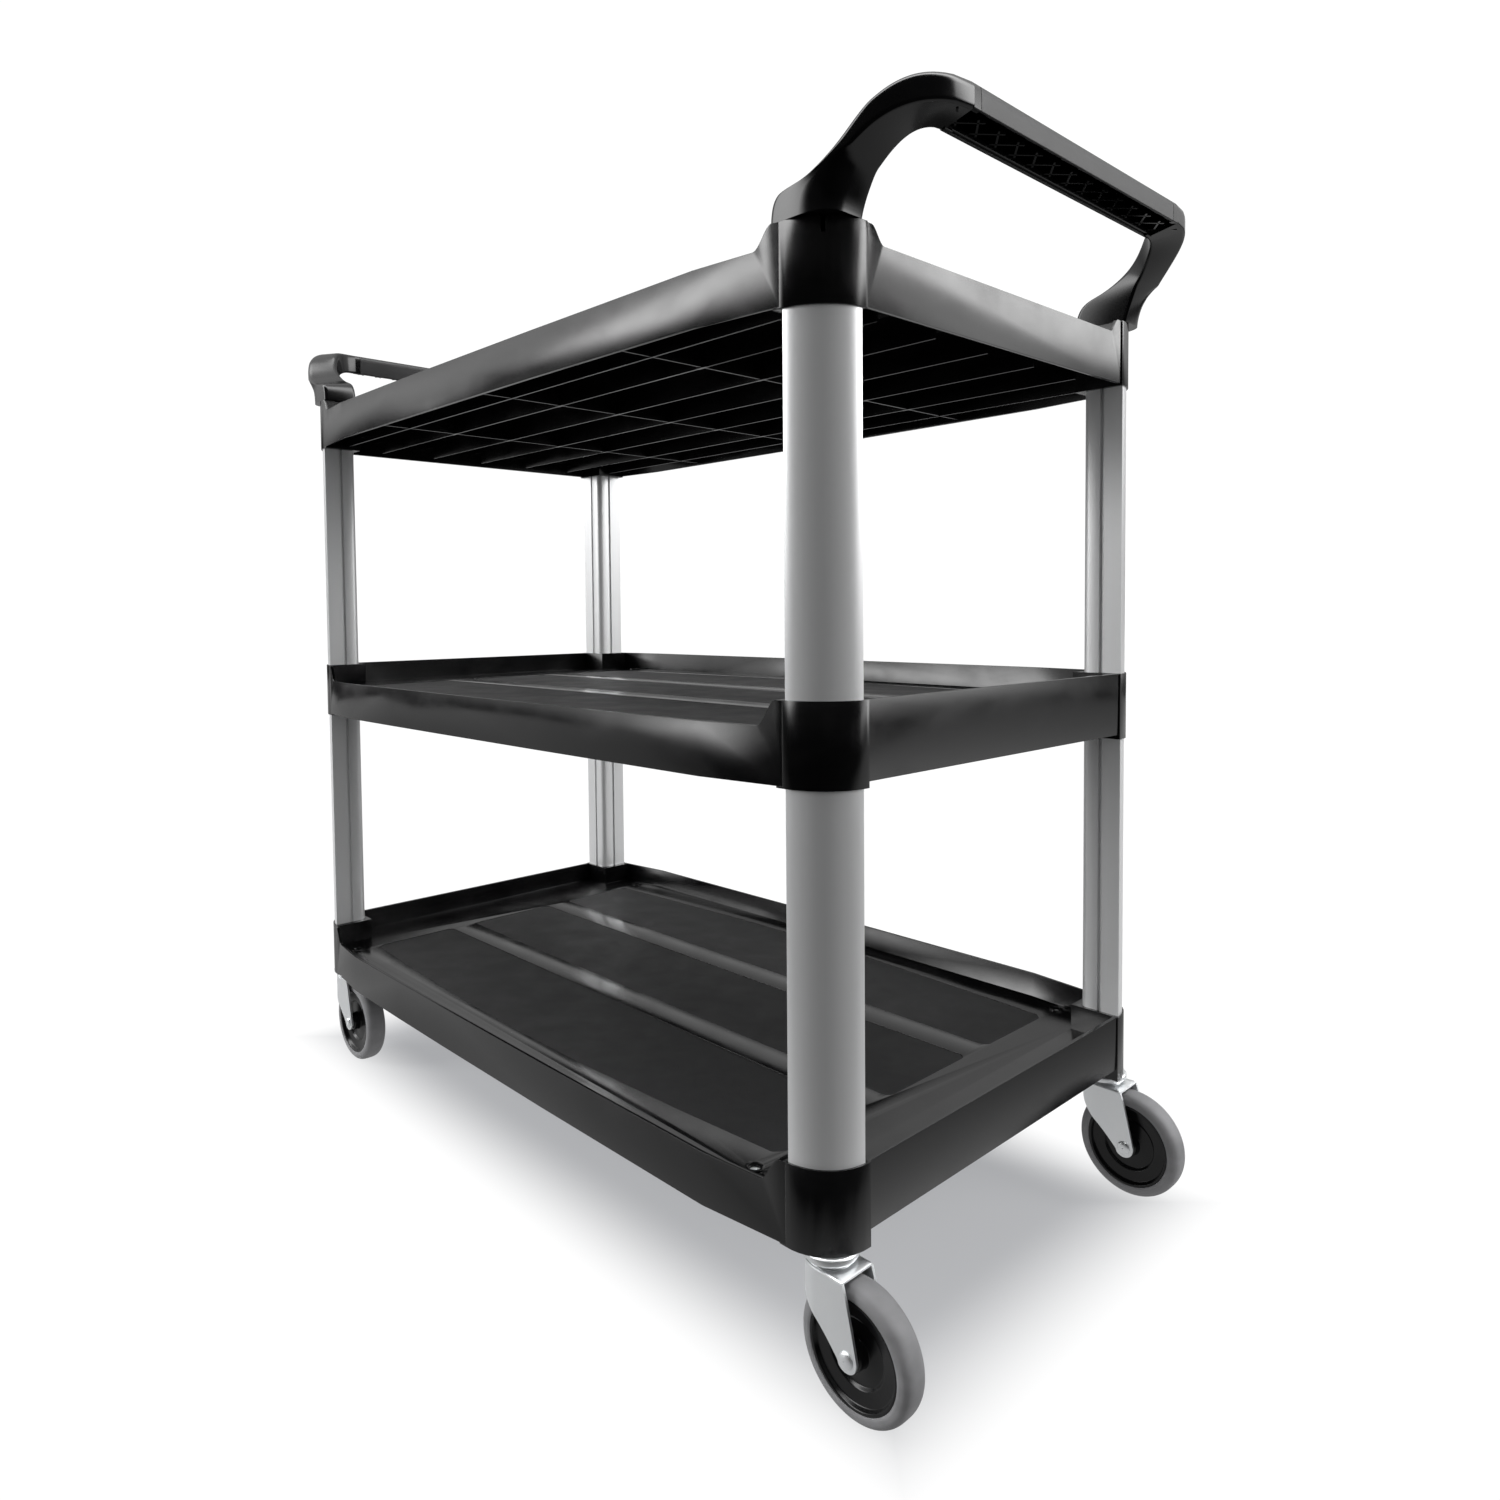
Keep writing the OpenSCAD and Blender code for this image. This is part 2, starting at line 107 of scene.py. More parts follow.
pick = sky.nodes.new("ShaderNodeMixShader")
out = sky.nodes.new("ShaderNodeOutputWorld")
for a, b in (
    (spot.outputs["Generated"], split.inputs["Vector"]),
    (spot.outputs["Generated"], toward.inputs[0]),
    (split.outputs["Z"], band.inputs["Value"]),
    (toward.outputs["Value"], half.inputs[0]),
    (half.outputs["Value"], walls.inputs["Fac"]),
    (band.outputs["Result"], both.inputs[0]),
    (walls.outputs["Color"], both.inputs[1]),
    (ray.outputs["Is Glossy Ray"], kind.inputs[0]),
    (both.outputs["Value"], kind.inputs[3]),
    (kind.outputs[0], room.inputs["Strength"]),
    (ray.outputs["Is Camera Ray"], pick.inputs["Fac"]),
    (room.outputs["Background"], pick.inputs[1]),
    (back.outputs["Background"], pick.inputs[2]),
    (pick.outputs["Shader"], out.inputs["Surface"]),
):
    sky.links.new(a, b)


def softbox(name, place, target, size, power):
    """A rectangular area light at place, turned towards target, left out of reflections."""
    lamp = bpy.data.lights.new(name, "AREA")
    lamp.shape, lamp.size, lamp.size_y, lamp.energy = "RECTANGLE", size[0], size[1], power
    ob = bpy.data.objects.new(name, lamp)
    bpy.context.collection.objects.link(ob)
    turn = (Vector(target) - Vector(place)).to_track_quat("-Z", "Y")
    ob.matrix_world = Matrix.Translation(place) @ turn.to_matrix().to_4x4()
    ob.visible_glossy = False


softbox("overhead", (-0.2, 0.1, 3.4), (0.0, 0.0, 0.0), (2.6, 2.6), 95.0)
softbox("left_wall", (-2.2, -2.6, 1.4), (0.0, 0.0, 0.4), (1.4, 2.2), 100.0)
softbox("right_wall", (2.6, 1.5, 1.4), (0.3, 0.0, 0.4), (1.2, 2.2), 62.0)

# The sheet under the cart is white and runs evenly into the backdrop. Its soft grey shadow is mostly
# painted: a rectangle of the cart's size, with a little of the real light and shade mixed in. It does
# not follow the cart. To every ray but the camera's the sheet glows grey, and is dark towards the camera.
shadow_x, shadow_y, shadow_blur = 0.486, 0.215, 0.07  # half sizes, and half the width of the soft edge
real_share = 0.16
floor_mesh = bpy.data.meshes.new("floor")
floor_mesh.from_pydata([(-12, -12, 0), (12, -12, 0), (12, 12, 0), (-12, 12, 0)], [], [(0, 1, 2, 3)])
floor = bpy.data.objects.new("floor", floor_mesh)
bpy.context.collection.objects.link(floor)
paper = bpy.data.materials.new("paper_floor")
paper.use_nodes = True
nt = paper.node_tree
nt.nodes.clear()


def paper_node(kind, operation=None, **values):
    """A node in the paper material; keywords i0, i1, ... set its inputs by number."""
    n = nt.nodes.new(kind)
    if operation:
        n.operation = operation
    for k, v in values.items():
        n.inputs[int(k[1:])].default_value = v
    return n


seen = paper_node("ShaderNodeLightPath")
at = paper_node("ShaderNodeTexCoord")
xyz = paper_node("ShaderNodeSeparateXYZ")
ax, ay = paper_node("ShaderNodeMath", "ABSOLUTE"), paper_node("ShaderNodeMath", "ABSOLUTE")
dx = paper_node("ShaderNodeMath", "SUBTRACT", i1=shadow_x)
dy = paper_node("ShaderNodeMath", "SUBTRACT", i1=shadow_y)
gap = paper_node("ShaderNodeMath", "MAXIMUM")
outside = paper_node("ShaderNodeMapRange", i1=-shadow_blur, i2=shadow_blur, i3=0.0, i4=1.0)
outside.interpolation_type = "SMOOTHSTEP"
pale = paper_node("ShaderNodeBsdfDiffuse", i0=(0.93, 0.93, 0.94, 1.0))
glow = paper_node("ShaderNodeEmission", i0=(0.95, 0.965, 1.0, 1.0), i1=0.47)
white = paper_node("ShaderNodeEmission", i0=(1.0, 1.0, 1.0, 1.0), i1=backdrop_glow)
inner = paper_node("ShaderNodeMixShader", i0=real_share)
whole, final = paper_node("ShaderNodeMixShader"), paper_node("ShaderNodeMixShader")
toward_f = paper_node("ShaderNodeVectorMath", "DOT_PRODUCT", i1=camera_side)
falls = paper_node("ShaderNodeMapRange", i1=0.42, i2=0.80, i3=0.52, i4=0.008)
falls.interpolation_type = "SMOOTHSTEP"
mirrored = paper_node("ShaderNodeEmission", i0=(1.0, 1.0, 1.0, 1.0))
paper_out = paper_node("ShaderNodeOutputMaterial")
for a, b in (
    (at.outputs["Object"], xyz.inputs[0]),
    (at.outputs["Object"], toward_f.inputs[0]),
    (xyz.outputs["X"], ax.inputs[0]),
    (xyz.outputs["Y"], ay.inputs[0]),
    (ax.outputs[0], dx.inputs[0]),
    (ay.outputs[0], dy.inputs[0]),
    (dx.outputs[0], gap.inputs[0]),
    (dy.outputs[0], gap.inputs[1]),
    (gap.outputs[0], outside.inputs[0]),
    (glow.outputs[0], inner.inputs[1]),
    (pale.outputs[0], inner.inputs[2]),
    (outside.outputs[0], whole.inputs[0]),
    (inner.outputs[0], whole.inputs[1]),
    (white.outputs[0], whole.inputs[2]),
    (toward_f.outputs["Value"], falls.inputs[0]),
    (falls.outputs[0], mirrored.inputs[1]),
    (seen.outputs["Is Camera Ray"], final.inputs[0]),
    (mirrored.outputs[0], final.inputs[1]),
    (whole.outputs[0], final.inputs[2]),
    (final.outputs[0], paper_out.inputs["Surface"]),
):
    nt.links.new(a, b)
floor_mesh.materials.append(paper)

# ---- Shelves ----------------------------------------------------------------------------------
# Three trays injection moulded in black plastic: thin rims and skirts, ribs below, corner bosses
# that grip the uprights. Mould edges are all softly rounded; the floors carry grained panels.


def plain_material(name, colour, roughness, metallic=0.0):
    """A new material with its Principled BSDF, and the two as a pair."""
    m = bpy.data.materials.new(name)
    m.use_nodes = True
    b = m.node_tree.nodes["Principled BSDF"]
    b.inputs["Base Color"].default_value = (*colour, 1.0)
    b.inputs["Roughness"].default_value = roughness
    b.inputs["Metallic"].default_value = metallic
    return m, b


def add(m, kind, **sockets):
    """A node of that kind in material m, with the named sockets set."""
    n = m.node_tree.nodes.new(kind)
    for k, v in sockets.items():
        n.inputs[k.replace("_", " ")].default_value = v
    return n


def moulded_group():
    """Node group for moulded plastic. Cloud is slow noise for a mottled sheen, painted into the colour by
    moulded_plastic;
    Grain is fine noise; Roughness is Low + (High - Low) * Cloud; Height is Grain * Depth plus a little Cloud."""
    g = bpy.data.node_groups.new("moulded_sheen", "ShaderNodeTree")
    values = {"Low": 0.3, "High": 0.5, "Cloud Scale": 22.0, "Grain Scale": 2600.0, "Grain Depth": 0.2}
    for n, d in values.items():
        g.interface.new_socket(n, in_out="INPUT", socket_type="NodeSocketFloat").default_value = d
    for n in ("Roughness", "Height", "Cloud"):
        g.interface.new_socket(n, in_out="OUTPUT", socket_type="NodeSocketFloat")
    gi, go = g.nodes.new("NodeGroupInput"), g.nodes.new("NodeGroupOutput")
    co = g.nodes.new("ShaderNodeTexCoord")
    mp = g.nodes.new("ShaderNodeMapping")
    mp.inputs["Scale"].default_value = (0.6, 0.6, 1.0)
    cl = g.nodes.new("ShaderNodeTexNoise")
    cl.inputs["Detail"].default_value, cl.inputs["Roughness"].default_value = 3.0, 0.55
    cl.inputs["Distortion"].default_value = 0.25
    gr = g.nodes.new("ShaderNodeTexNoise")
    gr.inputs["Detail"].default_value = 1.0
    sharp = g.nodes.new("ShaderNodeMapRange")
    sharp.inputs["From Min"].default_value, sharp.inputs["From Max"].default_value = 0.30, 0.70
    mix = g.nodes.new("ShaderNodeMapRange")
    mul = g.nodes.new("ShaderNodeMath")
    mul.operation = "MULTIPLY"
    tot = g.nodes.new("ShaderNodeMath")
    tot.operation = "MULTIPLY_ADD"
    tot.inputs[1].default_value = 0.06
    for a, b in (
        (co.outputs["Object"], mp.inputs["Vector"]),
        (mp.outputs["Vector"], cl.inputs["Vector"]),
        (co.outputs["Object"], gr.inputs["Vector"]),
        (gi.outputs["Cloud Scale"], cl.inputs["Scale"]),
        (gi.outputs["Grain Scale"], gr.inputs["Scale"]),
        (cl.outputs["Fac"], sharp.inputs["Value"]),
        (sharp.outputs["Result"], mix.inputs["Value"]),
        (gi.outputs["Low"], mix.inputs["To Min"]),
        (gi.outputs["High"], mix.inputs["To Max"]),
        (gr.outputs["Fac"], mul.inputs[0]),
        (gi.outputs["Grain Depth"], mul.inputs[1]),
        (sharp.outputs["Result"], tot.inputs[0]),
        (mul.outputs["Value"], tot.inputs[2]),
        (mix.outputs["Result"], go.inputs["Roughness"]),
        (tot.outputs["Value"], go.inputs["Height"]),
        (sharp.outputs["Result"], go.inputs["Cloud"]),
    ):
        g.links.new(a, b)
    return g


sheen_group = moulded_group()


def moulded_plastic(name, colour, low, high, cloud, grain, depth, bump, specular=0.5):
    """Moulded plastic: the sheen group drives roughness and bump; where cloudy the colour is lifted, a
    painted sheen.
    """
    m, b = plain_material(name, colour, 0.4)
    b.inputs["Specular IOR Level"].default_value = specular
    t = m.node_tree
    g = t.nodes.new("ShaderNodeGroup")
    g.node_tree = sheen_group
    values = {"Low": low, "High": high, "Cloud Scale": cloud, "Grain Scale": grain, "Grain Depth": depth}
    for k, v in values.items():
        g.inputs[k].default_value = v
    # painted sheen: the base colour is lifted where Cloud is high, standing in for mottled reflections
    tint = t.nodes.new("ShaderNodeMix")
    tint.data_type = "RGBA"
    tint.inputs[6].default_value = (*colour, 1.0)
    tint.inputs[7].default_value = (*[c * 1.3 + 0.002 for c in colour], 1.0)
    bp = add(m, "ShaderNodeBump", Strength=bump, Distance=0.0004)
    t.links.new(g.outputs["Roughness"], b.inputs["Roughness"])
    t.links.new(g.outputs["Cloud"], tint.inputs[0])
    t.links.new(tint.outputs[2], b.inputs["Base Color"])
    t.links.new(g.outputs["Height"], bp.inputs["Height"])
    t.links.new(bp.outputs["Normal"], b.inputs["Normal"])
    return m


boss_line, boss_face = 0.4064, 0.2414  # where a long wall meets a corner boss: |x|, and |y| of the boss
panel_depth = 0.0006
wall_black = moulded_plastic("shelf_wall", (0.0018, 0.0018, 0.0020), 0.13, 0.27, 26.0, 2400.0, 0.2, 0.2)
panel_black = moulded_plastic(
    "shelf_panel", (0.0035, 0.0035, 0.0038), 0.52, 0.64, 40.0, 1500.0, 1.0, 0.6, 0.28
)


def rounded_copy(node, name, radius, blend=False):
    """The CAD node's shape with its triangles merged, flat areas joined and sharp edges rounded by radius.
    With blend, the long walls run flush into the bosses; in the CAD they end in a step of about 1.5 mm."""
    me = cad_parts[node].data.copy()
    me.name = name
    me.materials.clear()
    bm = bmesh.new()
    bm.from_mesh(me)
    bmesh.ops.remove_doubles(bm, verts=bm.verts, dist=2e-5)
    bmesh.ops.dissolve_limit(bm, angle_limit=math.radians(0.6), verts=bm.verts, edges=bm.edges)
    for f in bm.faces:
        f.smooth = True
    bm.to_mesh(me)
    bm.free()
    if blend:
        co = np.empty(len(me.vertices) * 3)
        me.vertices.foreach_get("co", co)
        co = co.reshape(-1, 3)
        ends = (abs(abs(co[:, 0]) - boss_line) < 4e-4) & (abs(co[:, 1]) > boss_face)
        co[ends, 1] = np.sign(co[ends, 1]) * boss_face
        me.vertices.foreach_set("co", co.ravel())
    ob = bpy.data.objects.new(name, me)
    bpy.context.collection.objects.link(ob)
    edge = ob.modifiers.new("edge", "BEVEL")
    edge.width, edge.segments = radius, 2
    edge.limit_method, edge.angle_limit = "ANGLE", math.radians(25)
    edge.harden_normals = True
    return ob


for node, level in (("top_shelf", 0.8415), ("middle_shelf", 0.4995), ("bottom_shelf", 0.1555)):
    tray = rounded_copy(node, node.replace("_", "-"), 0.0009, blend=True)
    me = tray.data
    me.materials.append(wall_black)
    me.materials.append(panel_black)
    n, c = np.empty(len(me.polygons) * 3), np.empty(len(me.polygons) * 3)
    me.polygons.foreach_get("normal", n)
    me.polygons.foreach_get("center", c)
    n, c = n.reshape(-1, 3), c.reshape(-1, 3)
    grained = (n[:, 2] > 0.9) & (abs(c[:, 2] - level + panel_depth) < 2e-4)
    me.polygons.foreach_set("material_index", grained.astype(np.int32))
    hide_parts(node)
    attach(tray, "frame")

# ---- Uprights ---------------------------------------------------------------------------------
# Eight quarter-round aluminium extrusions, clear anodised to a satin grey, with a slot in each
# flat. They push into the corner bosses. The draw of the die leaves faint lines along them.


def softened(corners, radii, steps=4):
    """Closed outline, each corner replaced by a quadratic curve between the points at its radius from it."""
    q = np.asarray(corners, float)
    w = np.broadcast_to(np.asarray(radii, float), len(q))[:, None]
    to_p, to_r = np.roll(q, 1, 0) - q, np.roll(q, -1, 0) - q
    a, b = (q + t * np.minimum(w / np.linalg.norm(t, axis=1, keepdims=True), 0.48) for t in (to_p, to_r))
    u = np.linspace(0.0, 1.0, steps + 1)[None, :, None]
    curve = (1 - u) ** 2 * a[:, None] + 2 * u * (1 - u) * q[:, None] + u**2 * b[:, None]
    return curve.reshape(-1, q.shape[1])


def skin(rings, loop=False):
    """Vertices and faces over an (m, n, 3) stack of closed rings; the ends are capped, or joined if loop."""
    m, n = rings.shape[:2]
    j, i = np.arange(m if loop else m - 1)[:, None], np.arange(n)[None, :]
    k, j2 = (i + 1) % n, (j + 1) % m
    faces = np.stack((j * n + i, j * n + k, j2 * n + k, j2 * n + i), -1).reshape(-1, 4)
    return rings.reshape(-1, 3), faces, () if loop else (np.arange(n), np.arange((m - 1) * n, m * n))


def build(name, parts, material, angle=32.0):
    """One object from several skins, mm in and m out, faces turned outward, sharp only over the angle."""
    base, verts, faces = 0, [], []
    for v, f, caps in parts:
        verts.append(v)
        faces += (f + base).tolist() + [(c + base).tolist() for c in caps]
        base += len(v)
    me = bpy.data.meshes.new(name)
    me.from_pydata((np.vstack(verts) / 1000.0).tolist(), [], faces)
    bm = bmesh.new()
    bm.from_mesh(me)
    bmesh.ops.recalc_face_normals(bm, faces=bm.faces)
    bm.to_mesh(me)
    bm.free()
    me.polygons.foreach_set("use_smooth", np.ones(len(me.polygons), bool))
    me.set_sharp_from_angle(angle=math.radians(angle))
    me.materials.append(material)
    ob = bpy.data.objects.new(name, me)
    bpy.context.collection.objects.link(ob)
    return ob


anodised, b = plain_material("anodised_aluminium", (0.6, 0.605, 0.61), 0.42, 0.45)
t = anodised.node_tree
co = add(anodised, "ShaderNodeTexCoord")
mp = add(anodised, "ShaderNodeMapping", Scale=(1.0, 1.0, 0.004))
lines = add(anodised, "ShaderNodeTexNoise", Scale=900.0, Detail=2.0)
rough = add(anodised, "ShaderNodeMapRange", To_Min=0.30, To_Max=0.34)
shade = add(anodised, "ShaderNodeMix")
shade.data_type = "RGBA"
shade.inputs[6].default_value = (0.68, 0.685, 0.69, 1.0)
shade.inputs[7].default_value = (0.71, 0.715, 0.72, 1.0)
bump = add(anodised, "ShaderNodeBump", Strength=0.02, Distance=0.0001)
t.links.new(co.outputs["Object"], mp.inputs["Vector"])
t.links.new(mp.outputs["Vector"], lines.inputs["Vector"])
t.links.new(lines.outputs["Fac"], rough.inputs["Value"])
t.links.new(rough.outputs["Result"], b.inputs["Roughness"])
t.links.new(lines.outputs["Fac"], shade.inputs[0])
t.links.new(shade.outputs[2], b.inputs["Base Color"])
t.links.new(lines.outputs["Fac"], bump.inputs["Height"])
t.links.new(bump.outputs["Normal"], b.inputs["Normal"])
arc = np.radians(np.linspace(2.2, 87.8, 40))[:, None]
post_r, post_x, post_y = 42.0, 448.3, 239.8
flat_x, flat_y, groove = 407.8, 199.3, 2.4
rim = post_x - post_r + post_r * np.cos(arc), post_y - post_r + post_r * np.sin(arc)
inner = [(flat_x, flat_y + 22), (flat_x + groove, flat_y + 22), (flat_x + groove, flat_y + 18)]
inner += [(flat_x, flat_y + 18), (flat_x, flat_y), (flat_x + 18, flat_y)]
inner += [(flat_x + 18, flat_y + groove), (flat_x + 22, flat_y + groove), (flat_x + 22, flat_y)]
outline = np.vstack((np.hstack(rim), softened(inner, (0.5, 0.3, 0.3, 0.5, 7.0, 0.5, 0.3, 0.3, 0.5))))
corner_signs = {1: (1, -1), 2: (1, 1), 3: (-1, 1), 4: (-1, -1)}
for tier, z0, z1 in (("upper", 498.0, 833.5), ("lower", 154.0, 487.0)):
    for i, (sx, sy) in corner_signs.items():
        rings = np.empty((2, len(outline), 3))
        rings[:, :, :2] = outline * (sx, sy)
        rings[:, :, 2] = np.array((z0, z1))[:, None]
        post = build(f"{tier}-upright-{i}", [skin(rings)], anodised)
        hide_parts(f"{tier}_upright_{i}")
        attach(post, "frame")

# ---- Push handles -----------------------------------------------------------------------------
# A black moulded channel at each end: two flared legs out of the shelf corners and a bar between
# rounded elbows, zigzag ribs underneath, and a separate satin skin over the straight of the bar.


def bezier_run(*runs):
    """Points along cubic Bezier curves joined end to end, then evened out by a short moving average."""
    rows = []
    for *points, n in runs:
        p, q, r, s = (np.array(c) for c in points)
        u = np.linspace(0.0, 1.0, n + 1)[:, None]
        pts = (1 - u) ** 3 * p + 3 * u * (1 - u) ** 2 * q + 3 * u**2 * (1 - u) * r + u**3 * s
        rows.append(pts[1:] if rows else pts)
    pts = np.vstack(rows)
    ends = np.vstack((np.repeat(pts[:1], 3, 0), pts, np.repeat(pts[-1:], 3, 0)))
    mean = np.column_stack([np.convolve(ends[:, k], np.ones(7) / 7, "valid") for k in (0, 1)])
    fade = np.clip(np.minimum(np.arange(len(pts)), np.arange(len(pts))[::-1]) / 3.0, 0, 1)[:, None]
    return pts + (mean - pts) * fade


bar_out, bar_in, bar_top = 516.5, 488.0, 954.0
out_low, in_low = 934.0, 928.0  # lower edges of the bar's two sides
seam = 153.0
out_back = bezier_run(
    ((397, 868), (397, 880), (399, 887), (408, 889.5), 15),
    ((408, 889.5), (440, 889.5), (455, 902), (475, 930), 25),
    ((475, 930), (486, 939), (499, 951.5), (bar_out, bar_top), 25),
)
out_front = bezier_run(
    ((450, 868), (450, 878), (454, 889), (463, 901), 25),
    ((463, 901), (473, 911), (492, 929), (bar_out, out_low), 40),
)
in_front = bezier_run(
    ((450, 868), (452, 877), (457, 888), (461.5, 898), 25),
    ((461.5, 898), (469, 906), (478, 922), (bar_in, in_low), 40),
)
in_back = bezier_run(
    ((397, 868), (397, 882), (400, 893), (412, 897), 15),
    ((412, 897), (432, 902), (453, 914), (467.5, 938), 30),
    ((467.5, 938), (472, 946), (479, 954), (bar_in, bar_top), 20),
)


def set_out(line, end, radius, wide):
    """A side-view line bent onto the elbow: Y is -wide along the leg, then an arc of radius up to x = end."""
    x = line[:, 0]
    y = radius - wide - np.sqrt(radius**2 - np.maximum(0.0, x - end + radius) ** 2)
    return np.column_stack((x, y, line[:, 1]))


corners = np.stack(
    (
        set_out(out_back, bar_out, 80.0, 241.5),
        set_out(out_front, bar_out, 80.0, 241.5),
        set_out(in_front, bar_in, 40.0, 200.0),
        set_out(in_back, bar_in, 40.0, 200.0),
    ),
    1,
)
k = np.arange(len(corners)) / 5.0  # stations in fifths, so that the foot rounds off over the first six
leg_radii = np.stack((4 + 0.3 * k, 3 + 37 * np.maximum(0, 1 - k**2 / 36), 3 + 0 * k, 4 + 0.3 * k), 1)
leg = np.stack([softened(c, w, 7) for c, w in zip(corners, leg_radii)])


def bar_shell(inset, y0, y1, lip, thick):
    """U-shaped length of bar, open underneath: inset mm inside the full section, thick mm of wall,
    mouth raised by lip."""
    g, h = inset, inset + thick
    o, i, top = bar_out, bar_in, bar_top
    pts = [(o - g, out_low + lip), (o - g, top - g), (i + g, top - g), (i + g, in_low + lip)]
    pts += [(i + h, in_low + lip), (i + h, top - h), (o - h, top - h), (o - h, out_low + lip)]
    line = softened(pts, (0.9, 7.9 - g * 0.6, 7.9 - g * 0.6, 0.9, 0.9, 4.0, 4.0, 0.9), 6)
    rings = np.empty((2, len(line), 3))
    rings[:, :, 0], rings[:, :, 2] = line[:, 0], line[:, 1]
    rings[:, :, 1] = np.array((y0, y1))[:, None]
    return skin(rings)


def plank(centre, along, length, thick, z0, z1):
    """An upright flat rib: centre and direction in plan, length, thickness, lower and upper height."""
    d = np.array((math.cos(along), math.sin(along))) * length / 2
    s = np.array((-math.sin(along), math.cos(along))) * thick / 2
    rings = np.empty((2, 4, 3))
    rings[:, :, :2] = (centre + d + s, centre - d + s, centre - d - s, centre + d - s)
    rings[:, :, 2] = np.array((z0, z1))[:, None]
    return skin(rings)


handle_black = moulded_plastic(
    "handle_black", (0.0016, 0.0016, 0.0018), 0.12, 0.20, 30.0, 2600.0, 0.2, 0.12, 0.3
)
grip_black = moulded_plastic(
    "grip_satin", (0.0060, 0.0060, 0.0064), 0.33, 0.40, 40.0, 2200.0, 0.5, 0.25, 0.28
)
rib_pitch, rib_turn, leg_end, joint_gap = 26.0, math.radians(52), 161.6, 0.3
ribs = [
    plank(np.array((502.2, k * rib_pitch + 6.5 * s)), s * rib_turn, 27.0, 1.6, 932.0, 949.0)
    for k in range(-6, 7)
    for s in (-1, 1)
]
for e, turn in ((1, np.array((1, 1, 1))), (2, np.array((-1, 1, 1)))):
    y = seam + joint_gap
    parts = [skin(leg), skin(leg * (1, -1, 1))]
    parts += [bar_shell(0.0, leg_end, y, 0.0, 4.8), bar_shell(0.0, -y, -leg_end, 0.0, 4.8)]
    parts += [bar_shell(2.35, -y, y, 1.6, 2.4)] + ribs
    handle = build(f"handle-{e}", [(v * turn, f, c) for v, f, c in parts], handle_black)
    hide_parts(f"handle_{e}")
    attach(handle, "frame")
    v, f, c = bar_shell(0.0, joint_gap - seam, seam - joint_gap, 0.0, 2.3)
    grip = build(f"grip-{e}", [(v * turn, f, c)], grip_black)
    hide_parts(f"grip_{e}")
    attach(grip, "frame")

# ---- Casters ----------------------------------------------------------------------------------
# Pressed steel forks in bright zinc under a ball race, a domed rivet for an axle, and a black
# moulded wheel centre in a grey tyre. The fork turns on the stem's king pin.
zinc, b = plain_material("bright_zinc", (0.80, 0.82, 0.83), 0.28, 0.85)
t = zinc.node_tree
co = add(zinc, "ShaderNodeTexCoord")
cloud = add(zinc, "ShaderNodeTexNoise", Scale=70.0, Detail=3.0)
rough = add(zinc, "ShaderNodeMapRange", To_Min=0.34, To_Max=0.39)
tint = add(zinc, "ShaderNodeMix")
tint.data_type = "RGBA"
tint.inputs[6].default_value = (0.78, 0.80, 0.82, 1.0)
tint.inputs[7].default_value = (0.83, 0.845, 0.85, 1.0)
t.links.new(co.outputs["Object"], cloud.inputs["Vector"])
t.links.new(cloud.outputs["Fac"], rough.inputs["Value"])
t.links.new(rough.outputs["Result"], b.inputs["Roughness"])
t.links.new(cloud.outputs["Fac"], tint.inputs[0])
t.links.new(tint.outputs[2], b.inputs["Base Color"])
tyre_grey = moulded_plastic("tyre_grey", (0.165, 0.165, 0.17), 0.55, 0.68, 60.0, 1800.0, 0.6, 0.3)
centre_black = moulded_plastic(
    "wheel_centre", (0.0025, 0.0025, 0.0028), 0.15, 0.24, 60.0, 2600.0, 0.2, 0.15, 0.3
)


def lathe(line, centre, axis="Z", steps=96):
    """A closed (radius, height) outline turned about the axis through centre; Y heights run along +Y."""
    a = np.linspace(0.0, 2 * np.pi, steps, endpoint=False)[:, None]
    r, h = line[:, 0][None, :], np.broadcast_to(line[:, 1][None, :], (steps, len(line)))
    if axis == "Z":
        xyz = np.stack((r * np.cos(a), r * np.sin(a), h), -1)
    else:
        xyz = np.stack((r * np.cos(a), h, r * np.sin(a)), -1)
    return skin(xyz + centre, loop=True)


swivel_x, swivel_y = 426.5, 214.0
trail, axle_z, crown_z = 29.7, 50.8, 105.8
fork_half, fork_front, fork_rear = 18.0, 20.5, 26.0
tyre_half = [(41.6, 6.0), (40.4, 8.0), (40.4, 11.8), (42.4, 12.5), (46.8, 11.9), (50.8, 7.5)]
tyre_line = softened(
    tyre_half + [(r, -y) for r, y in tyre_half[::-1]],
    (0.2, 0.2, 0.5, 1.2, 4.5, 5.0, 5.0, 4.5, 1.2, 0.5, 0.2, 0.2),
    6,
)
hub_half = [(4.05, 14.6), (9, 14.6), (10.5, 13.4), (11.2, 5.6), (24, 4.5), (26, 7)]
hub_half += [(36.5, 8), (38, 11.6), (40.4, 11.6), (40.4, 8), (41.6, 6)]
hub_line = softened(hub_half + [(r, -y) for r, y in hub_half[::-1]], 0.8, 4)
cup_line = softened(
    [(0.6, 144.0), (5.2, 144.0), (5.5, 116.0), (20.2, 116.0), (21.5, 114.6), (21.5, 111.2)]
    + [(20.2, 109.4), (18.6, 109.2), (17.6, 111.4), (9.0, 111.4), (5.0, 111.0)]
    + [(5.0, 101.2), (8.5, 101.2), (8.5, 99.6), (5.0, 98.2), (0.6, 98.2)],
    0.6,
    3,
)
pin_half = [(0.4, 20.6), (3.4, 20.2), (5.4, 19.5), (6.2, 18.6), (6.2, 18.05), (4.0, 18.0)]
pin_line = softened(pin_half + [(r, -y) for r, y in pin_half[::-1]], 0.5, 3)

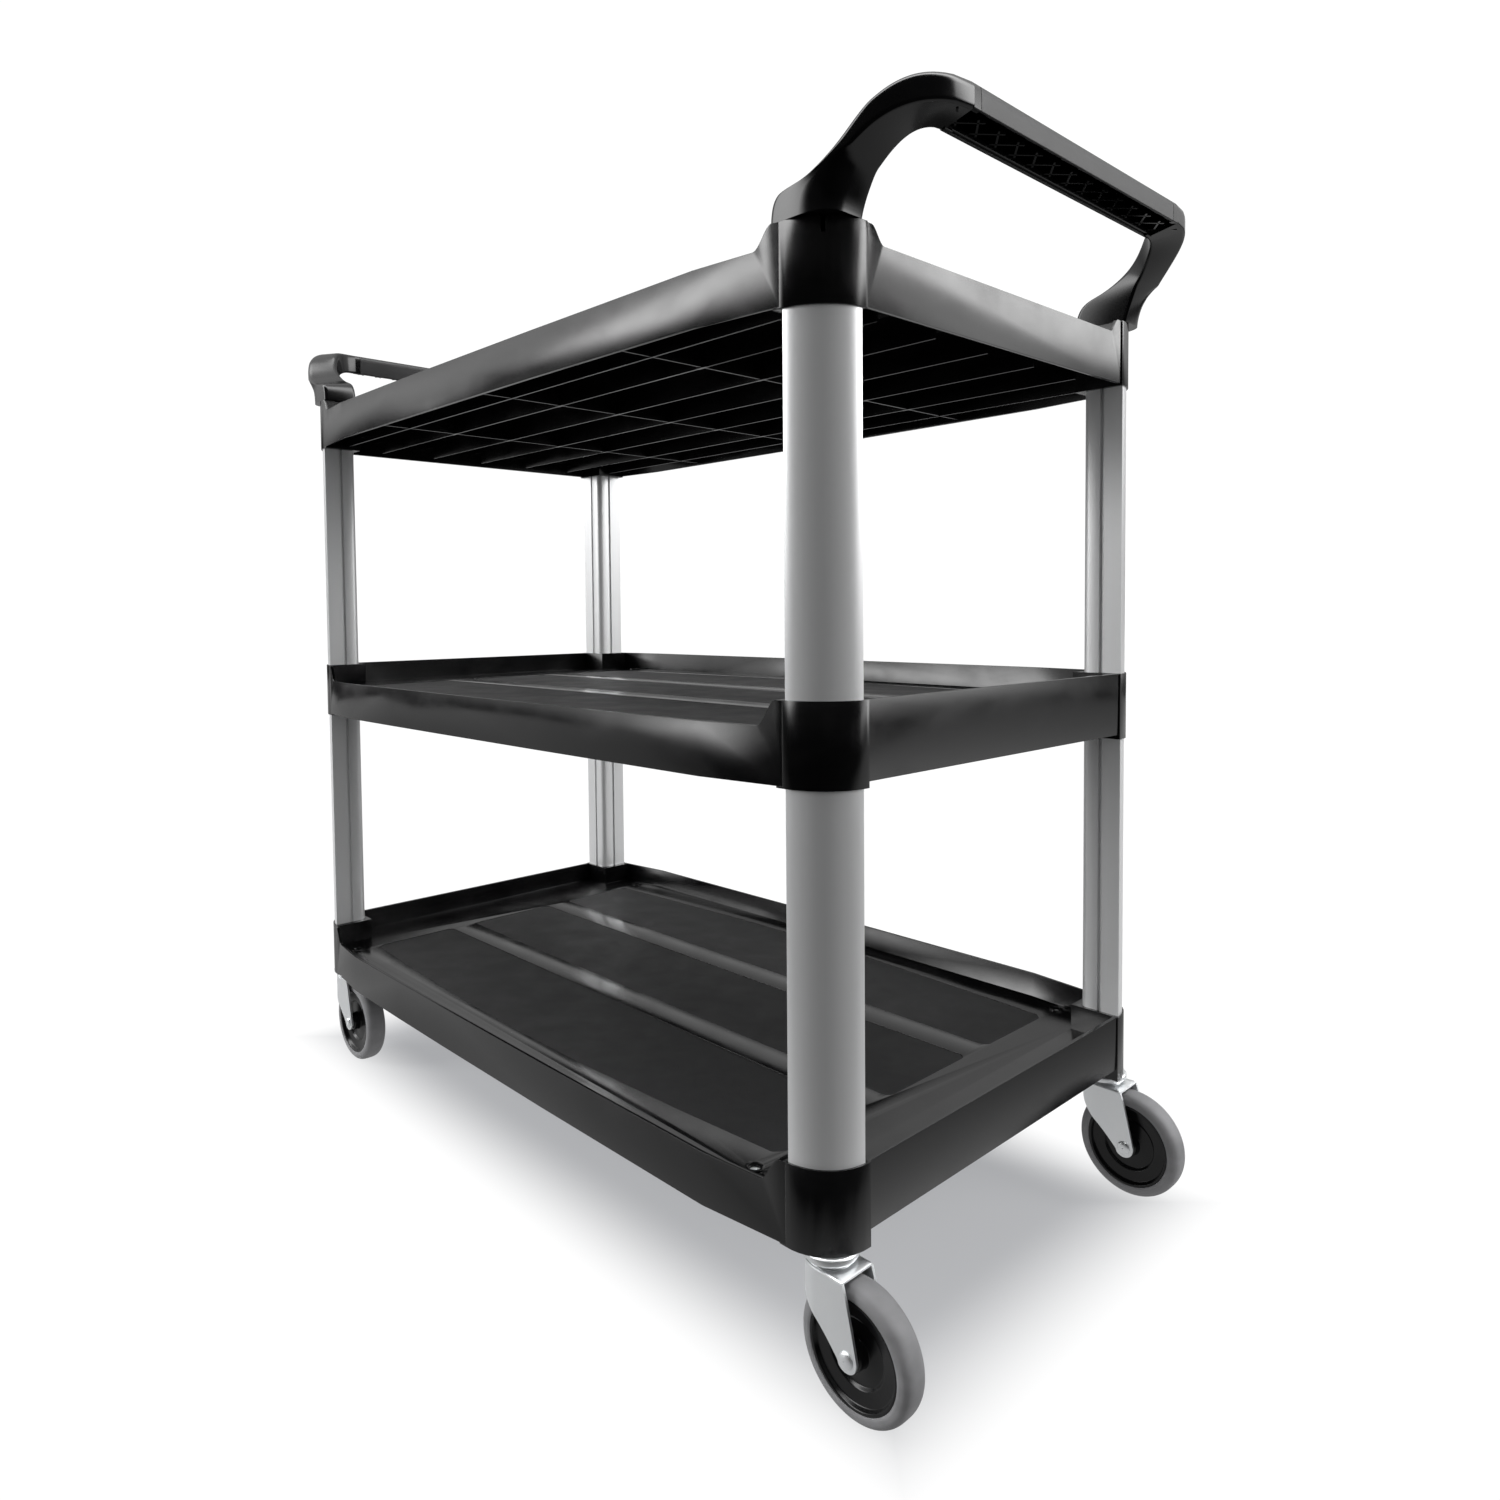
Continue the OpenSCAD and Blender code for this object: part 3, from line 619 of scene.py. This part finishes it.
# outer skin of the fork in plan: rear tip, side, round front, side, rear tip, with its plan normals
th = np.linspace(0.0, np.pi, 33)
side_x = np.linspace(39.25, 0.0, 34)[:-1]
plan = np.vstack(
    (
        np.column_stack((side_x, np.full(33, fork_half))),
        np.column_stack((-fork_front * np.sin(th), fork_half * np.cos(th))),
        np.column_stack((side_x[::-1], np.full(33, -fork_half))),
    )
)
tangent = np.gradient(plan, axis=0)
normal = np.column_stack((-tangent[:, 1], tangent[:, 0])) / np.linalg.norm(tangent, axis=1, keepdims=True)
# its upper edge is level under the crown, then falls to the tip; its lower edge slants down from the
# front, arched between the legs, and ends in a round eye below the rivet
x = plan[:, 0]
rear = np.clip((x - fork_rear) / 13.25, 0, 1)
z_up = (crown_z - 1.4) + (52.0 - crown_z + 1.4) * rear**1.15
eye_r = 9.6
eye = axle_z - np.sqrt(np.maximum(0.0, eye_r**2 - np.clip(x - trail, -eye_r, eye_r) ** 2))
along = (x + 19.5) / 41.0
slant = 80.0 + along * (47.5 - 80.0) + 3.5 * np.sin(np.clip(along, 0, 1) * np.pi)
arch = np.where(x < -0.1, 9.0 * (1 - (plan[:, 1] / fork_half) ** 2), 0.0)
z_low = np.where(x > 22.0, eye, slant + arch)
z_low = np.minimum(z_low, z_up - 0.3)
v = np.linspace(0.0, 1.0, 9)[None, :]
z_out = z_up[:, None] + (z_low - z_up)[:, None] * v
ring_xy = np.concatenate((np.repeat(plan[:, None], 9, 1), np.repeat((plan + 2.4 * normal)[:, None], 9, 1)), 1)
fork_skirt = np.concatenate((ring_xy, np.concatenate((z_out, z_out[:, ::-1]), 1)[..., None]), -1)

# crown plate: outline by direction from the king pin, carried through ring after ring of the pressing
phi = np.linspace(0.0, 2 * np.pi, 128, endpoint=False)
cs, sn = np.cos(phi), np.sin(phi)
front_r = 1.0 / np.sqrt((cs / fork_front) ** 2 + (sn / fork_half) ** 2)
rear_r = np.minimum(fork_half / np.maximum(abs(sn), 1e-6), fork_rear / np.maximum(cs, 1e-6))
edge_r = np.where(cs < 0, front_r, rear_r)
levels = [(5.1, 103.3), (16.0, 103.3), (edge_r - 0.5, 103.3), (edge_r, 104.0), (edge_r - 0.4, 105.2)]
levels += [(edge_r - 1.6, crown_z), (17.0, 105.9), (16.6, 107.0), (15.4, 107.6), (11.6, 107.6)]
levels += [(10.2, 106.4), (5.1, 106.2)]
crown = np.stack([np.column_stack((r * cs, r * sn, np.full(128, z))) for r, z in levels])
for i, (sx, sy) in corner_signs.items():
    pivot = np.array((sx * swivel_x, sy * swivel_y, 0.0))
    hub_at = pivot + (trail, 0.0, axle_z)
    fork_parts = [skin(fork_skirt + pivot), skin(crown + pivot, loop=True)]
    for kind, parts, m, body, slot in (
        ("stem", [lathe(cup_line, pivot)], zinc, "frame", "zinc_steel"),
        ("fork", fork_parts, zinc, f"fork_body_{i}", "zinc_steel"),
        ("axle", [lathe(pin_line, hub_at, "Y", 48)], zinc, f"fork_body_{i}", "zinc_steel"),
        ("hub", [lathe(hub_line, hub_at, "Y")], centre_black, f"wheel_{i}", "black_wheel_centre"),
        ("tyre", [lathe(tyre_line, hub_at, "Y", 128)], tyre_grey, f"wheel_{i}", "grey_tyre"),
    ):
        piece = build(f"{kind}-{i}", parts, m)
        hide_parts(f"{kind}_{i}")
        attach(piece, body)

# ---- Screws -----------------------------------------------------------------------------------
# Eight pan-head steel screws in bright zinc, driven down into the pillars beside the corners of the
# two lower shelves.
screws = rounded_copy("shelf_screws", "shelf-screws", 0.0003)
screws.data.materials.append(zinc)
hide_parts("shelf_screws")
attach(screws, "frame")
